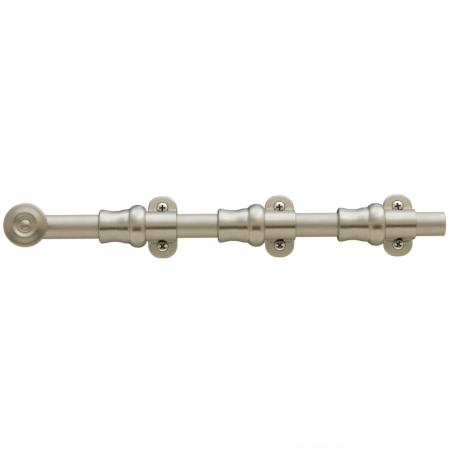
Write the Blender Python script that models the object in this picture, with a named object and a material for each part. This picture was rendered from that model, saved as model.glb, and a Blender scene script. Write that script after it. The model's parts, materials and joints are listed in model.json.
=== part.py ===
"""Surface bolt for a door: a round rod that slides through three turned guides.

Frame: +X runs along the rod towards its tip, +Y goes into the door and +Z is up.
The origin lies on the door face, on the middle guide's screw line, level with the rod.
Local shapes that are turned on a lathe run along their own X axis.
"""

import math

import bmesh
import bpy
from mathutils import Matrix, Vector

MM = 0.001

# Rod
ROD_RADIUS = 7.94 * MM
ROD_KNOB_END = -171.1 * MM
ROD_TIP = 108.3 * MM
ROD_EDGE_ROUNDING = 0.9 * MM
ROD_HEIGHT = 14.5 * MM

# Travel of the rod from the place it is modelled in
TRAVEL_BACK = 19.5 * MM
TRAVEL_OUT = 18.6 * MM

# Guides: lengths are measured from the screw line, towards the tip
GUIDE_CENTRES = {"knob_end": -77.9 * MM, "middle": 0.0, "tip_end": 78.8 * MM}
BORE_RADIUS = 8.24 * MM
MOUTH = -41.2 * MM
MOUTH_RADIUS = 11.2 * MM
MOUTH_LIP = 3.0 * MM
# Rounded edge of the mouth: (length in from the mouth, step down from the mouth's radius)
MOUTH_EDGE = ((0.0, 2.4 * MM), (0.42 * MM, 1.08 * MM), (1.2 * MM, 0.24 * MM))
COVE_WAIST = -30.0 * MM
COVE_RADIUS = 10.15 * MM
COVE_END = -22.2 * MM
COVE_END_RADIUS = 11.35 * MM
BEAD_CREST = -15.6 * MM
BEAD_RADIUS = 14.15 * MM
BEAD_HEIGHT = 5.2 * MM
BEAD_REACH_TO_MOUTH = 6.6 * MM
BEAD_REACH_TO_TUBE = 5.9 * MM
BEAD_END = -10.2 * MM
TUBE_RADIUS = 9.85 * MM
TUBE_END = 10.0 * MM
TUBE_EDGE = 0.5 * MM

# Flange and saddle of each guide
FLANGE_HALF_WIDTH = 9.8 * MM
FLANGE_HALF_HEIGHT = 20.7 * MM
FLANGE_THICKNESS = 4.0 * MM
FLANGE_BEVEL = 1.5 * MM
SADDLE_HALF_WIDTH = 9.6 * MM
SADDLE_HALF_LENGTH = 9.3 * MM
SADDLE_FILLET = 1.8 * MM
FILLET_OVERLAP = 0.02 * MM
FILLET_END_DEGREES = 92.0

# Wood screws: number 6 with oval heads, one inch apart
SCREW_OFFSET = 12.7 * MM
SCREW_LENGTH = 19.05 * MM
SCREW_HEAD_RADIUS = 3.55 * MM
SCREW_SHANK_RADIUS = 1.65 * MM
SCREW_CROWN = 1.15 * MM
SCREW_CROWN_SHARES = (0.0, 0.3, 0.55, 0.75, 0.9)
SCREW_HEAD_EDGE = 0.2 * MM
SCREW_POINT_LENGTH = 5.0 * MM
SCREW_TIP_LENGTH = 0.4 * MM
SCREW_TIP_RADIUS = 0.25 * MM
SCREW_THREAD_STEP = 0.15 * MM
SCREW_RECESS = {"length": 4.2 * MM, "width": 0.95 * MM, "depth": 1.9 * MM}
SCREW_HOLE_RADIUS = 1.95 * MM
SCREW_POCKET_RADIUS = 4.0 * MM
SCREW_POCKET_DEPTH = 0.3 * MM
SCREW_HEAD_ROOM = 0.1 * MM
COUNTERSINK_SLOPE = math.tan(math.radians(41.0))
SCREW_TURN_STEP = math.radians(137.5)

# Cross recess of a driver: how much longer and wider it is outside than at its floor
RECESS_FLOOR_LENGTH_SHARE = 0.45
RECESS_FLOOR_WIDTH_SHARE = 0.7
RECESS_CUTTER_LIFT = 1.5 * MM

# Tapped hole in the back of every guide
BACK_HOLE_SHIFT = -5.0 * MM
BACK_HOLE_RADIUS = 2.5 * MM
GRUB_RADIUS = 2.2 * MM
GRUB_OUTER_END = 0.3 * MM
GRUB_LENGTH = 1.8 * MM
GRUB_CHAMFER = 0.25 * MM
DRIVER_SLOT_WIDTH = 0.8 * MM
DRIVER_SLOT_DEPTH = 0.8 * MM
PAD_RADIUS = 2.2 * MM
PAD_LENGTH = 1.75 * MM
PAD_CHAMFER = 0.2 * MM
PAD_HOLLOW_DEPTH = 0.2 * MM
SPRING_GAP = 0.15 * MM
SPRING_RADIUS = 1.5 * MM
SPRING_WIRE_RADIUS = 0.2 * MM
SPRING_TURNS = 2.25

# Limit pin and the keyway it runs in
PIN_RADIUS = 1.45 * MM
PIN_CHAMFER = 0.3 * MM
KEYWAY_HALF_WIDTH = 1.8 * MM
KEYWAY_DEPTH = 2.4 * MM

# Knob: lengths are measured from the rod axis, away from the door
KNOB_X = -164.8 * MM
KNOB_RIM_RADIUS = 14.3 * MM
KNOB_NECK_RADIUS = 5.2 * MM
KNOB_NECK_START = 5.0 * MM
KNOB_NECK_END = 13.0 * MM
# Corners of the knob's outline as (distance from the rod axis, radius)
KNOB_BACK = ((16.4 * MM, 6.2 * MM), (19.2 * MM, 8.9 * MM), (21.1 * MM, 12.8 * MM))
KNOB_RIM_CENTRE = (22.6 * MM, 13.0 * MM)
KNOB_GROOVE = (23.7 * MM, 12.6 * MM)
KNOB_SHOULDER = ((24.35 * MM, 12.2 * MM), (24.9 * MM, 10.9 * MM), (25.4 * MM, 9.4 * MM))
KNOB_LIP = ((25.6 * MM, 8.3 * MM), (25.5 * MM, 7.7 * MM))
KNOB_DISH = ((24.75 * MM, 6.1 * MM), (24.65 * MM, 5.4 * MM))
KNOB_RING = ((24.77 * MM, 4.75 * MM), (24.52 * MM, 3.6 * MM))
KNOB_BUTTON = ((24.9 * MM, 2.6 * MM), (25.35 * MM, 1.4 * MM), (25.52 * MM, 0.0))
KNOB_SCREW_HOLE = 2.3 * MM
KNOB_SCREW_HOLE_DEPTH = 19.0 * MM
KNOB_SCREW_RADIUS = 2.0 * MM
KNOB_SCREW_LENGTH = 23.0 * MM
KNOB_SCREW_HEAD_RADIUS = 3.4 * MM
KNOB_SCREW_HEAD_HEIGHT = 1.8 * MM
KNOB_SCREW_EDGE = 0.5 * MM
KNOB_SCREW_RECESS = {"length": 3.6 * MM, "width": 0.9 * MM, "depth": 1.2 * MM}
COUNTERBORE_RADIUS = 4.0 * MM
COUNTERBORE_DEPTH = 3.6 * MM
LOCK_WASHER_THICKNESS = 0.9 * MM
LOCK_WASHER_SPLIT = 0.7 * MM
LOCK_WASHER_LEAN = math.radians(20.0)

GAP = 0.3 * MM
CUTTER_OVERSHOOT = 1.0 * MM
MERGE_DISTANCE = 0.001 * MM
SMOOTH_ANGLE = math.radians(35.0)
ROUND_SEGMENTS = 32
HOLE_SEGMENTS = 20
SCREW_SEGMENTS = 16
WIRE_SIDES = 6
WIRE_STEPS_PER_TURN = 12
EDGE_STEPS = 2
COVE_STEPS = 3
FILLET_STEPS = 3
KNOB_RIM_STEPS = 4
KEYWAY_END_STEPS = 6
BEAD_STEPS = 4
FLANGE_END_STEPS = 10

# A lathe shape is turned to face away from the door, its X axis along -Y
FACING_OUT = Matrix.Rotation(math.radians(-90.0), 4, "Z")
FACING_DOOR = Matrix.Rotation(math.radians(90.0), 4, "Z")

SATIN_NICKEL = {"colour": (0.56, 0.52, 0.46, 1.0), "roughness": 0.35, "metallic": 1.0}
BRIGHT_NICKEL = {"colour": (0.78, 0.75, 0.70, 1.0), "roughness": 0.12, "metallic": 1.0}
ZINC_STEEL = {"colour": (0.52, 0.53, 0.54, 1.0), "roughness": 0.40, "metallic": 1.0}
SPRING_STEEL = {"colour": (0.38, 0.38, 0.39, 1.0), "roughness": 0.30, "metallic": 1.0}
WHITE_NYLON = {"colour": (0.86, 0.85, 0.80, 1.0), "roughness": 0.55, "metallic": 0.0}


def clear_scene():
    for thing in list(bpy.data.objects):
        bpy.data.objects.remove(thing, do_unlink=True)


def finished_mesh(name, shape):
    """Turns a bmesh into a smooth-shaded mesh whose faces point out."""
    bmesh.ops.recalc_face_normals(shape, faces=shape.faces)
    mesh = bpy.data.meshes.new(name)
    shape.to_mesh(mesh)
    shape.free()
    mesh.shade_smooth()
    mesh.set_sharp_from_angle(angle=SMOOTH_ANGLE)
    return mesh


def turned_mesh(name, outline, segments=ROUND_SEGMENTS, closed=False):
    """Spins an outline of (length along X, radius) points about the X axis."""
    shape = bmesh.new()
    points = [shape.verts.new((along, 0.0, radius)) for along, radius in outline]
    pairs = list(zip(points, points[1:]))
    if closed:
        pairs.append((points[-1], points[0]))
    edges = [shape.edges.new(pair) for pair in pairs]
    bmesh.ops.spin(
        shape,
        geom=points + edges,
        cent=(0.0, 0.0, 0.0),
        axis=(1.0, 0.0, 0.0),
        angle=math.tau,
        steps=segments,
        use_merge=True,
    )
    bmesh.ops.remove_doubles(shape, verts=shape.verts, dist=MERGE_DISTANCE)
    return finished_mesh(name, shape)


def cylinder_mesh(name, start, end, radius, segments=ROUND_SEGMENTS):
    outline = [(start, 0.0), (start, radius), (end, radius), (end, 0.0)]
    return turned_mesh(name, outline, segments)


def prism_mesh(name, corners, sweep, front_bevel=0.0):
    """Sweeps a flat outline along a vector; its far edge can be rounded over."""
    shape = bmesh.new()
    base = shape.faces.new([shape.verts.new(corner) for corner in corners])
    swept = bmesh.ops.extrude_face_region(shape, geom=[base])["geom"]
    far_points = [item for item in swept if isinstance(item, bmesh.types.BMVert)]
    bmesh.ops.translate(shape, verts=far_points, vec=sweep)
    if front_bevel:
        far_edges = [item for item in swept if isinstance(item, bmesh.types.BMEdge)]
        bmesh.ops.bevel(
            shape, geom=far_edges, offset=front_bevel, segments=EDGE_STEPS, profile=0.5, affect="EDGES"
        )
    return finished_mesh(name, shape)


def arc(centre, radius, start_degrees, end_degrees, steps):
    """Points on a circle arc in a plane, both ends included."""
    points = []
    for step in range(steps + 1):
        angle = math.radians(start_degrees + (end_degrees - start_degrees) * step / steps)
        points.append((centre[0] + radius * math.cos(angle), centre[1] + radius * math.sin(angle)))
    return points


def stadium(half_length, radius, steps):
    """Outline with two straight sides and round ends; its length runs along the first axis."""
    reach = half_length - radius
    return arc((reach, 0.0), radius, -90.0, 90.0, steps) + arc((-reach, 0.0), radius, 90.0, 270.0, steps)


def wave(start, start_radius, end, end_radius, steps):
    """Smooth S-shaped run between two radii, level at both ends."""
    points = []
    for step in range(steps + 1):
        share = step / steps
        blend = (1.0 - math.cos(math.pi * share)) / 2.0
        points.append((start + (end - start) * share, start_radius + (end_radius - start_radius) * blend))
    return points


def temporary_object(name, mesh, matrix=Matrix.Identity(4)):
    thing = bpy.data.objects.new(name, mesh)
    thing.matrix_world = matrix
    bpy.context.scene.collection.objects.link(thing)
    return thing


def carved_mesh(name, body, joined=(), cut=()):
    """Joins meshes onto a body mesh, cuts others out of it and returns the result.

    Each joined or cut item is a mesh, or a (mesh, matrix) pair.
    """
    work = temporary_object(name, body)
    tools = []
    for operation, items in (("UNION", joined), ("DIFFERENCE", cut)):
        for item in items:
            mesh, matrix = item if isinstance(item, tuple) else (item, Matrix.Identity(4))
            tool = temporary_object(name + "_tool", mesh, matrix)
            modifier = work.modifiers.new(operation.lower(), "BOOLEAN")
            modifier.operation = operation
            modifier.solver = "EXACT"
            modifier.object = tool
            tools.append(tool)
    bpy.context.view_layer.update()
    evaluated = work.evaluated_get(bpy.context.evaluated_depsgraph_get())
    result = bpy.data.meshes.new_from_object(evaluated)
    for thing in [work, *tools]:
        bpy.data.objects.remove(thing, do_unlink=True)
    result.name = name
    result.shade_smooth()
    result.set_sharp_from_angle(angle=SMOOTH_ANGLE)
    return result


def metal_or_plastic(name, finish):
    material = bpy.data.materials.new(name)
    material.use_nodes = True
    shader = material.node_tree.nodes["Principled BSDF"]
    shader.inputs["Base Color"].default_value = finish["colour"]
    shader.inputs["Roughness"].default_value = finish["roughness"]
    shader.inputs["Metallic"].default_value = finish["metallic"]
    material.diffuse_color = finish["colour"]
    return material


def add_piece(name, mesh, finish, location, turn=Matrix.Identity(4), parent=None):
    """Adds one named part with its own copy of the mesh and its own material."""
    own_mesh = mesh.copy()
    own_mesh.name = name
    own_mesh.materials.clear()
    own_mesh.materials.append(metal_or_plastic(name, finish))
    piece = bpy.data.objects.new(name, own_mesh)
    bpy.context.scene.collection.objects.link(piece)
    piece.parent = parent
    offset = Vector(location)
    if parent is not None:
        offset -= parent.location
    piece.matrix_basis = Matrix.Translation(offset) @ turn
    return piece


def bead_arc():
    """The bead's oval outline, from the crease after the cove to its step down to the tube."""
    centre = BEAD_RADIUS - BEAD_HEIGHT
    start = 180.0 - math.degrees(math.asin((COVE_END_RADIUS - centre) / BEAD_HEIGHT))
    end = math.degrees(math.acos((BEAD_END - BEAD_CREST) / BEAD_REACH_TO_TUBE))
    points = []
    halves = ((BEAD_REACH_TO_MOUTH, start, 90.0), (BEAD_REACH_TO_TUBE, 90.0, end))
    for reach, first, last in halves:
        for along, outward in arc((0.0, 0.0), 1.0, first, last, BEAD_STEPS):
            points.append((BEAD_CREST + reach * along, centre + BEAD_HEIGHT * outward))
    del points[BEAD_STEPS]
    return points


def guide_outline():
    """Outer outline of a guide: lip, cove, ball-shaped bead and plain tube."""
    points = [(MOUTH, 0.0)]
    points += [(MOUTH + inward, MOUTH_RADIUS - down) for inward, down in MOUTH_EDGE]
    points += wave(MOUTH + MOUTH_LIP, MOUTH_RADIUS, COVE_WAIST, COVE_RADIUS, COVE_STEPS)
    points += wave(COVE_WAIST, COVE_RADIUS, COVE_END, COVE_END_RADIUS, COVE_STEPS)[1:]
    points += bead_arc()
    points += [
        (BEAD_END, TUBE_RADIUS),
        (TUBE_END - TUBE_EDGE, TUBE_RADIUS),
        (TUBE_END, TUBE_RADIUS - TUBE_EDGE),
        (TUBE_END, 0.0),
    ]
    return points


def flange_mesh():
    """Round-ended plate that lies on the door, with its front edge rounded over."""
    outline = stadium(FLANGE_HALF_HEIGHT, FLANGE_HALF_WIDTH, FLANGE_END_STEPS)
    corners = [(across, 0.0, height) for height, across in outline]
    return prism_mesh("flange", corners, (0.0, -FLANGE_THICKNESS, 0.0), FLANGE_BEVEL)


def saddle_mesh():
    """Block that carries the tube on the flange, with a fillet down each side."""
    foot = -FLANGE_THICKNESS / 3.0
    fillet_centre = (SADDLE_HALF_WIDTH + SADDLE_FILLET, -FLANGE_THICKNESS - SADDLE_FILLET)
    fillet_radius = SADDLE_FILLET + FILLET_OVERLAP
    fillet = arc(fillet_centre, fillet_radius, 180.0, FILLET_END_DEGREES, FILLET_STEPS)
    side = [(SADDLE_HALF_WIDTH, -ROD_HEIGHT)] + fillet + [(fillet[-1][0], foot)]
    outline = side + [(-across, depth) for across, depth in reversed(side)]
    corners = [(-SADDLE_HALF_LENGTH, depth, across) for across, depth in outline]
    return prism_mesh("saddle", corners, (2.0 * SADDLE_HALF_LENGTH, 0.0, 0.0))


def screw_hole_mesh():
    """Clearance hole, countersink and round pocket for one wood screw, along X from the door face."""
    pocket_floor = FLANGE_THICKNESS - SCREW_POCKET_DEPTH
    mouth_radius = SCREW_HEAD_RADIUS + SCREW_HEAD_ROOM
    sink_start = pocket_floor - (mouth_radius - SCREW_HOLE_RADIUS) / COUNTERSINK_SLOPE
    outline = [
        (-CUTTER_OVERSHOOT, 0.0),
        (-CUTTER_OVERSHOOT, SCREW_HOLE_RADIUS),
        (sink_start, SCREW_HOLE_RADIUS),
        (pocket_floor, mouth_radius),
        (pocket_floor, SCREW_POCKET_RADIUS),
        (ROD_HEIGHT + TUBE_RADIUS, SCREW_POCKET_RADIUS),
        (ROD_HEIGHT + TUBE_RADIUS, 0.0),
    ]
    return turned_mesh("screw_hole", outline, HOLE_SEGMENTS)


def guide_mesh():
    axis = Matrix.Translation((0.0, -ROD_HEIGHT, 0.0))
    screw_hole = screw_hole_mesh()
    bore = cylinder_mesh("bore", MOUTH - CUTTER_OVERSHOOT, TUBE_END + CUTTER_OVERSHOOT, BORE_RADIUS)
    inside_bore = ROD_HEIGHT - BORE_RADIUS / 2.0
    back_hole = cylinder_mesh(
        "back_hole", -CUTTER_OVERSHOOT, inside_bore, BACK_HOLE_RADIUS, HOLE_SEGMENTS
    )
    body = turned_mesh("guide_body", guide_outline())
    body.transform(axis)
    cutters = [
        (bore, axis),
        (back_hole, Matrix.Translation((BACK_HOLE_SHIFT, 0.0, 0.0)) @ FACING_OUT),
    ]
    for side in (1.0, -1.0):
        cutters.append((screw_hole, Matrix.Translation((0.0, 0.0, side * SCREW_OFFSET)) @ FACING_OUT))
    return carved_mesh("guide", body, [saddle_mesh(), flange_mesh()], cutters)


def cross_recess_blade(length, width, depth):
    """One tapered arm pair of a cross-shaped driver recess, opening towards +X at x = 0."""
    shape = bmesh.new()
    for point in bmesh.ops.create_cube(shape, size=1.0)["verts"]:
        outer = point.co.x > 0.0
        point.co.y *= length * (1.0 if outer else RECESS_FLOOR_LENGTH_SHARE)
        point.co.z *= width * (1.0 if outer else RECESS_FLOOR_WIDTH_SHARE)
        point.co.x = RECESS_CUTTER_LIFT if outer else -depth
    return finished_mesh("blade", shape)


def recess_cutters(head_front, recess):
    """The two crossing blades that cut a driver recess into a head whose front is at head_front."""
    blade = cross_recess_blade(**recess)
    place = Matrix.Translation((head_front, 0.0, 0.0))
    return [(blade, place), (blade, place @ Matrix.Rotation(math.radians(90.0), 4, "X"))]


def wood_screw_mesh():
    """Oval-head wood screw along X: the head's rim is at x = 0 and the point is at negative x."""
    shank_top = -(SCREW_HEAD_RADIUS - SCREW_SHANK_RADIUS) / COUNTERSINK_SLOPE
    outline = [
        (-SCREW_LENGTH, 0.0),
        (-SCREW_LENGTH + SCREW_TIP_LENGTH, SCREW_TIP_RADIUS),
        (-SCREW_LENGTH + SCREW_POINT_LENGTH, SCREW_SHANK_RADIUS - SCREW_THREAD_STEP),
        (shank_top, SCREW_SHANK_RADIUS),
        (-SCREW_HEAD_EDGE, SCREW_HEAD_RADIUS),
    ]
    for share in SCREW_CROWN_SHARES:
        outline.append((SCREW_CROWN * share, SCREW_HEAD_RADIUS * math.sqrt(1.0 - share * share)))
    outline.append((SCREW_CROWN, 0.0))
    body = turned_mesh("wood_screw", outline, SCREW_SEGMENTS)
    return carved_mesh("wood_screw", body, (), recess_cutters(SCREW_CROWN, SCREW_RECESS))


def slotted_screw_mesh(name, outline):
    """A headless screw along X with a driver slot across its x = 0 end."""
    body = turned_mesh(name, outline, SCREW_SEGMENTS)
    slot_half = DRIVER_SLOT_WIDTH / 2.0
    reach = GRUB_RADIUS + CUTTER_OVERSHOOT
    corners = [
        (-DRIVER_SLOT_DEPTH, -reach, -slot_half),
        (-DRIVER_SLOT_DEPTH, -reach, slot_half),
        (CUTTER_OVERSHOOT, -reach, slot_half),
        (CUTTER_OVERSHOOT, -reach, -slot_half),
    ]
    slot = prism_mesh("driver_slot", corners, (0.0, 2.0 * reach, 0.0))
    return carved_mesh(name, body, (), [slot])


def grub_screw_mesh():
    outline = [
        (-GRUB_LENGTH, 0.0),
        (-GRUB_LENGTH, GRUB_RADIUS - GRUB_CHAMFER),
        (-GRUB_LENGTH + GRUB_CHAMFER, GRUB_RADIUS),
        (-GRUB_CHAMFER, GRUB_RADIUS),
        (0.0, GRUB_RADIUS - GRUB_CHAMFER),
        (0.0, 0.0),
    ]
    return slotted_screw_mesh("grub_screw", outline)


def limit_pin_mesh():
    """Set screw with a plain dog point; the point runs in the rod's keyway."""
    wall_inside = ROD_HEIGHT - BORE_RADIUS
    thread_end = -(wall_inside - GRUB_OUTER_END - GAP)
    keyway_floor = ROD_HEIGHT - ROD_RADIUS + KEYWAY_DEPTH
    point_end = -(keyway_floor - GRUB_OUTER_END - GAP)
    outline = [
        (point_end, 0.0),
        (point_end, PIN_RADIUS - PIN_CHAMFER),
        (point_end + PIN_CHAMFER, PIN_RADIUS),
        (thread_end, PIN_RADIUS),
        (thread_end, GRUB_RADIUS),
        (-PIN_CHAMFER, GRUB_RADIUS),
        (0.0, GRUB_RADIUS - PIN_CHAMFER),
        (0.0, 0.0),
    ]
    return slotted_screw_mesh("limit_pin", outline)


def pad_hollow_cutter():
    """Cylinder along the rod that shapes the pad's face; the pad's face is at x = 0."""
    reach = 2.0 * PAD_RADIUS
    rod = cylinder_mesh("rod_shape", -reach, reach, ROD_RADIUS + GAP)
    across = Matrix.Rotation(math.radians(90.0), 4, "Z")
    return (rod, Matrix.Translation((BORE_RADIUS - PAD_HOLLOW_DEPTH, 0.0, 0.0)) @ across)


def friction_pad_mesh():
    """Short round plug with a shallow hollow in its face that follows the rod."""
    outline = [
        (-PAD_LENGTH, 0.0),
        (-PAD_LENGTH, PAD_RADIUS - PAD_CHAMFER),
        (-PAD_LENGTH + PAD_CHAMFER, PAD_RADIUS),
        (0.0, PAD_RADIUS),
        (0.0, 0.0),
    ]
    body = turned_mesh("friction_pad", outline, SCREW_SEGMENTS)
    return carved_mesh("friction_pad", body, (), [pad_hollow_cutter()])


def spring_mesh(length):
    """Open coil of round wire along X, from x = 0 to x = length."""
    rise = length - 2.0 * SPRING_WIRE_RADIUS
    steps = round(SPRING_TURNS * WIRE_STEPS_PER_TURN)
    shape = bmesh.new()
    rings = []
    for step in range(steps + 1):
        share = step / steps
        angle = math.tau * SPRING_TURNS * share
        along = SPRING_WIRE_RADIUS + rise * share
        outward = Vector((0.0, math.cos(angle), math.sin(angle)))
        ring = []
        for side in range(WIRE_SIDES):
            turn = math.tau * side / WIRE_SIDES
            offset = outward * math.cos(turn) + Vector((math.sin(turn), 0.0, 0.0))
            centre = outward * SPRING_RADIUS + Vector((along, 0.0, 0.0))
            ring.append(shape.verts.new(centre + offset * SPRING_WIRE_RADIUS))
        rings.append(ring)
    for first, second in zip(rings, rings[1:]):
        for side in range(WIRE_SIDES):
            following = (side + 1) % WIRE_SIDES
            shape.faces.new((first[side], first[following], second[following], second[side]))
    shape.faces.new(rings[0])
    shape.faces.new(rings[-1])
    return finished_mesh("spring", shape)


def rod_mesh():
    """Round bar with rounded ends, a keyway in its back and the knob screw's hole."""
    rounding = ROD_EDGE_ROUNDING
    knob_corner = (ROD_KNOB_END + rounding, ROD_RADIUS - rounding)
    tip_corner = (ROD_TIP - rounding, ROD_RADIUS - rounding)
    outline = [(ROD_KNOB_END, 0.0)]
    outline += arc(knob_corner, rounding, 180.0, 90.0, EDGE_STEPS)
    outline += arc(tip_corner, rounding, 90.0, 0.0, EDGE_STEPS)
    outline += [(ROD_TIP, 0.0)]
    body = turned_mesh("rod", outline)
    knob_place = Matrix.Translation((KNOB_X, 0.0, 0.0)) @ FACING_OUT
    far = 2.0 * ROD_RADIUS
    through = cylinder_mesh("through", -far, far, KNOB_SCREW_HOLE, HOLE_SEGMENTS)
    floor = ROD_RADIUS - COUNTERBORE_DEPTH
    counterbore = cylinder_mesh("counterbore", -far, -floor, COUNTERBORE_RADIUS, HOLE_SEGMENTS)
    cutters = [keyway_cutter(), (through, knob_place), (counterbore, knob_place)]
    return carved_mesh("rod", body, (), cutters)


def keyway_cutter():
    """Round-ended slot as long as the travel, centred on the pin's place along the rod."""
    start = BACK_HOLE_SHIFT - TRAVEL_OUT - KEYWAY_HALF_WIDTH
    end = BACK_HOLE_SHIFT + TRAVEL_BACK + KEYWAY_HALF_WIDTH
    half_length = (end - start) / 2.0
    centre = (start + end) / 2.0
    floor = ROD_RADIUS - KEYWAY_DEPTH
    outline = stadium(half_length, KEYWAY_HALF_WIDTH, KEYWAY_END_STEPS)
    corners = [(centre + along, floor, height) for along, height in outline]
    return prism_mesh("keyway", corners, (0.0, 2.0 * KEYWAY_DEPTH, 0.0))


def knob_outline():
    """Outline of the rosette knob: neck, swept back, rim bead, shoulder, dish and button."""
    points = [
        (KNOB_NECK_START, 0.0),
        (KNOB_NECK_START, KNOB_NECK_RADIUS),
        (KNOB_NECK_END, KNOB_NECK_RADIUS),
    ]
    points += KNOB_BACK
    rim_radius = KNOB_RIM_RADIUS - KNOB_RIM_CENTRE[1]
    points += arc(KNOB_RIM_CENTRE, rim_radius, 130.0, 20.0, KNOB_RIM_STEPS)
    points.append(KNOB_GROOVE)
    for run in (KNOB_SHOULDER, KNOB_LIP, KNOB_DISH, KNOB_RING, KNOB_BUTTON):
        points += run
    return points


def knob_mesh():
    body = turned_mesh("knob", knob_outline())
    reach = 2.0 * KNOB_RIM_RADIUS
    rod = cylinder_mesh("rod_shape", -reach, reach, ROD_RADIUS + GAP)
    along_rod = Matrix.Rotation(math.radians(90.0), 4, "Z")
    hole = cylinder_mesh("screw_hole", 0.0, KNOB_SCREW_HOLE_DEPTH, KNOB_SCREW_HOLE, HOLE_SEGMENTS)
    return carved_mesh("knob", body, (), [(rod, along_rod), hole])


def knob_screw_mesh():
    """Machine screw along X: the head's seat is at x = 0 and the head is at negative x."""
    edge = KNOB_SCREW_EDGE
    outline = [
        (-KNOB_SCREW_HEAD_HEIGHT, 0.0),
        (-KNOB_SCREW_HEAD_HEIGHT, KNOB_SCREW_HEAD_RADIUS - 2.0 * edge),
        (-KNOB_SCREW_HEAD_HEIGHT + edge, KNOB_SCREW_HEAD_RADIUS - 0.4 * edge),
        (-KNOB_SCREW_HEAD_HEIGHT + 2.0 * edge, KNOB_SCREW_HEAD_RADIUS),
        (0.0, KNOB_SCREW_HEAD_RADIUS),
        (0.0, KNOB_SCREW_RADIUS),
        (KNOB_SCREW_LENGTH - edge, KNOB_SCREW_RADIUS),
        (KNOB_SCREW_LENGTH, KNOB_SCREW_RADIUS - edge),
        (KNOB_SCREW_LENGTH, 0.0),
    ]
    body = turned_mesh("knob_screw", outline, SCREW_SEGMENTS)
    turned_round = Matrix.Rotation(math.radians(180.0), 4, "Z")
    blades = recess_cutters(KNOB_SCREW_HEAD_HEIGHT, KNOB_SCREW_RECESS)
    return carved_mesh("knob_screw", body, (), [(mesh, turned_round @ place) for mesh, place in blades])


def lock_washer_mesh():
    """Split ring along X, from x = 0 to its thickness."""
    inner = KNOB_SCREW_HOLE
    outer = KNOB_SCREW_HEAD_RADIUS
    outline = [
        (0.0, inner),
        (0.0, outer),
        (LOCK_WASHER_THICKNESS, outer),
        (LOCK_WASHER_THICKNESS, inner),
    ]
    ring = turned_mesh("lock_washer", outline, SCREW_SEGMENTS, closed=True)
    half = LOCK_WASHER_SPLIT / 2.0
    lean = Matrix.Rotation(LOCK_WASHER_LEAN, 4, "Y")
    start = -2.0 * LOCK_WASHER_THICKNESS
    end = 3.0 * LOCK_WASHER_THICKNESS
    corners = [(start, 0.0, -half), (start, 0.0, half), (end, 0.0, half), (end, 0.0, -half)]
    split = prism_mesh("split", corners, (0.0, 2.0 * outer, 0.0))
    return carved_mesh("lock_washer", ring, (), [(split, lean)])


def add_guides():
    mesh = guide_mesh()
    for place, centre in GUIDE_CENTRES.items():
        add_piece(f"guide_{place}", mesh, SATIN_NICKEL, (centre, 0.0, 0.0))


def add_wood_screws():
    """Two screws for each guide, each left at its own turn as a screwdriver would leave it."""
    mesh = wood_screw_mesh()
    rim_depth = FLANGE_THICKNESS - SCREW_POCKET_DEPTH + GAP
    number = 0
    for place, centre in GUIDE_CENTRES.items():
        for level, side in (("upper", 1.0), ("lower", -1.0)):
            turn = FACING_OUT @ Matrix.Rotation(number * SCREW_TURN_STEP, 4, "X")
            location = (centre, -rim_depth, side * SCREW_OFFSET)
            add_piece(f"wood_screw_{place}_{level}", mesh, BRIGHT_NICKEL, location, turn)
            number += 1


def add_friction_set(place, centre):
    """Grub screw, spring and pad in one guide's tapped hole; the pad presses on the rod's back."""
    x = centre + BACK_HOLE_SHIFT
    grub_inner_end = GRUB_OUTER_END + GRUB_LENGTH
    pad_face = ROD_HEIGHT - BORE_RADIUS
    spring_start = grub_inner_end + SPRING_GAP
    spring_length = pad_face - PAD_LENGTH - SPRING_GAP - spring_start
    add_piece(
        f"friction_grub_screw_{place}",
        grub_screw_mesh(),
        ZINC_STEEL,
        (x, -GRUB_OUTER_END, 0.0),
        FACING_DOOR,
    )
    add_piece(
        f"friction_spring_{place}",
        spring_mesh(spring_length),
        SPRING_STEEL,
        (x, -spring_start, 0.0),
        FACING_OUT,
    )
    add_piece(
        f"friction_pad_{place}",
        friction_pad_mesh(),
        WHITE_NYLON,
        (x, -pad_face, 0.0),
        FACING_OUT,
    )


def add_limit_pin():
    location = (BACK_HOLE_SHIFT, -GRUB_OUTER_END, 0.0)
    add_piece("limit_pin", limit_pin_mesh(), ZINC_STEEL, location, FACING_DOOR)


def add_sliding_bolt():
    """Rod, knob and the screw that holds the knob, carried by an empty on the slide's axis."""
    carriage = bpy.data.objects.new("bolt_slide_axis", None)
    carriage.location = (0.0, -ROD_HEIGHT, 0.0)
    bpy.context.scene.collection.objects.link(carriage)
    add_piece("bolt_rod", rod_mesh(), SATIN_NICKEL, (0.0, -ROD_HEIGHT, 0.0), parent=carriage)
    knob_axis = (KNOB_X, -ROD_HEIGHT, 0.0)
    add_piece("rosette_knob", knob_mesh(), SATIN_NICKEL, knob_axis, FACING_OUT, carriage)
    bore_floor = -ROD_HEIGHT + ROD_RADIUS - COUNTERBORE_DEPTH
    washer_seat = (KNOB_X, bore_floor + GAP + LOCK_WASHER_THICKNESS, 0.0)
    add_piece("knob_lock_washer", lock_washer_mesh(), ZINC_STEEL, washer_seat, FACING_OUT, carriage)
    head_seat = (KNOB_X, washer_seat[1] + GAP, 0.0)
    add_piece("knob_screw", knob_screw_mesh(), ZINC_STEEL, head_seat, FACING_OUT, carriage)


def build_surface_bolt():
    clear_scene()
    add_guides()
    add_wood_screws()
    for place in ("knob_end", "tip_end"):
        add_friction_set(place, GUIDE_CENTRES[place])
    add_limit_pin()
    add_sliding_bolt()


build_surface_bolt()
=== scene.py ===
"""Looks of the surface bolt: fine meshes over the CAD frame, nickel finishes, stage, light and camera.

Every fine piece takes its place and its main sizes from the CAD nodes. Lengths are in metres.
A turned shape is made along its own X axis and then turned into place.
"""

import json
import math

import bpy
import numpy as np
from mathutils import Matrix, Vector


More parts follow.
